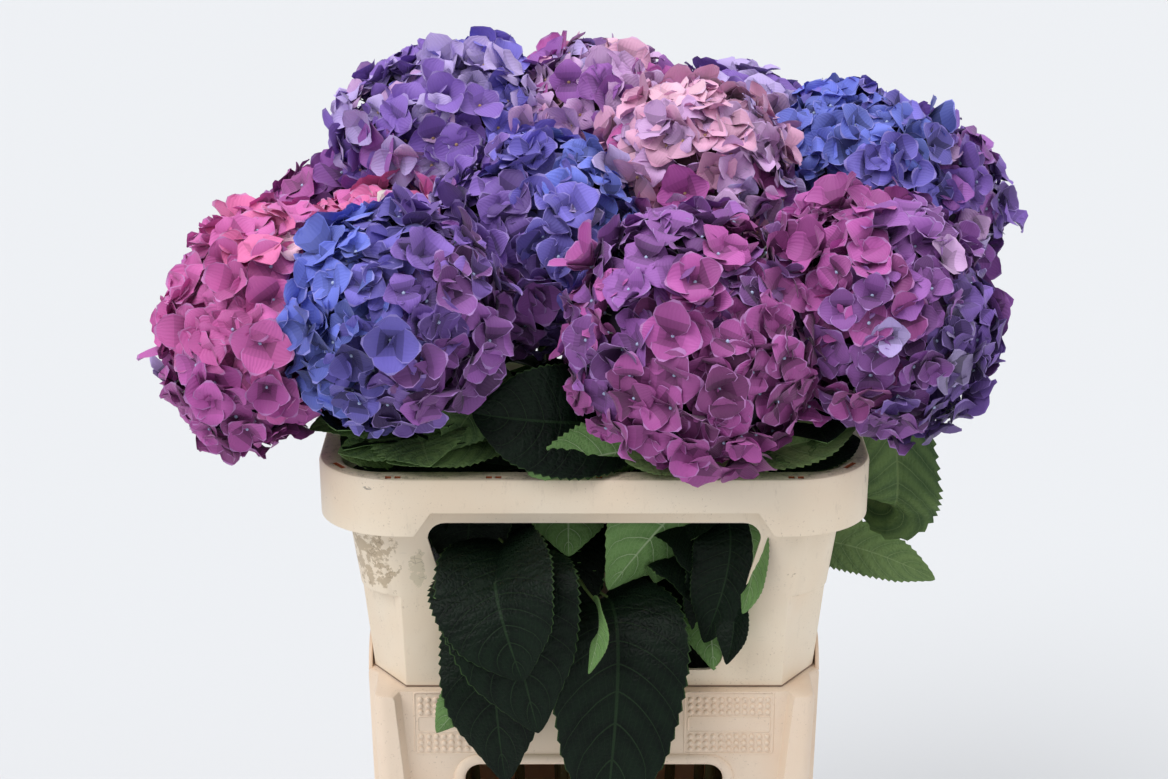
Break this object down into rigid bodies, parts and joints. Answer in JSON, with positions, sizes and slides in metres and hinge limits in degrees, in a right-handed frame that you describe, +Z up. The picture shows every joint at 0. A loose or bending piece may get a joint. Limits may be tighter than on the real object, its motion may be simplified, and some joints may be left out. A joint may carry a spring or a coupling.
{
  "type": "bunch of cut hydrangeas in a flower bucket with an extension collar",
  "caption": "Cut hydrangea stems with large round flower heads and broad leaves, standing in a tall plastic flower bucket with a windowed extension collar.",
  "frame": {"origin": "middle of the bucket's flat underside, on the surface that it stands on", "axes": "+Z up, -Y towards the front of the bucket, +X to the right seen from the front"},
  "size_m": [0.673, 0.5363, 0.8194],
  "materials": {
    "bucket_plastic": "moulded, scuffed",
    "collar_plastic": "moulded, stained and scuffed",
    "green_stem": "fresh cut, smooth",
    "leaf": "veined, slightly glossy",
    "petal_pink": "soft petals",
    "petal_blue_violet": "soft petals",
    "petal_violet": "soft petals",
    "petal_lilac": "soft petals",
    "petal_pale": "soft petals",
    "petal_blue": "soft petals",
    "petal_magenta": "soft petals",
    "petal_purple": "soft petals"
  },
  "bodies": {
    "root": {"bucket": "bucket_plastic", "collar": "collar_plastic", "stem_far_left": "green_stem", "leaves_far_left": "leaf", "bloom_far_left": "petal_pink", "stem_front_left": "green_stem", "leaves_front_left": "leaf", "bloom_front_left": "petal_blue_violet", "stem_centre": "green_stem", "leaves_centre": "leaf", "bloom_centre": "petal_violet", "stem_mid_left": "green_stem", "leaves_mid_left": "leaf", "bloom_mid_left": "petal_pink", "stem_back_left": "green_stem", "leaves_back_left": "leaf", "bloom_back_left": "petal_violet", "stem_back_centre": "green_stem", "leaves_back_centre": "leaf", "bloom_back_centre": "petal_lilac", "stem_back_right": "green_stem", "leaves_back_right": "leaf", "bloom_back_right": "petal_violet", "stem_centre_right": "green_stem", "leaves_centre_right": "leaf", "bloom_centre_right": "petal_pale", "stem_right_back": "green_stem", "leaves_right_back": "leaf", "bloom_right_back": "petal_blue", "stem_far_right": "green_stem", "leaves_far_right": "leaf", "bloom_far_right": "petal_violet", "stem_front": "green_stem", "leaves_front": "leaf", "bloom_front": "petal_magenta", "stem_right": "green_stem", "leaves_right": "leaf", "bloom_right": "petal_purple", "stem_rear_left": "green_stem", "leaves_rear_left": "leaf", "bloom_rear_left": "petal_purple", "stem_rear_centre": "green_stem", "leaves_rear_centre": "leaf", "bloom_rear_centre": "petal_blue_violet", "stem_rear_right": "green_stem", "leaves_rear_right": "leaf", "bloom_rear_right": "petal_magenta"}
  },
  "joints": []
}
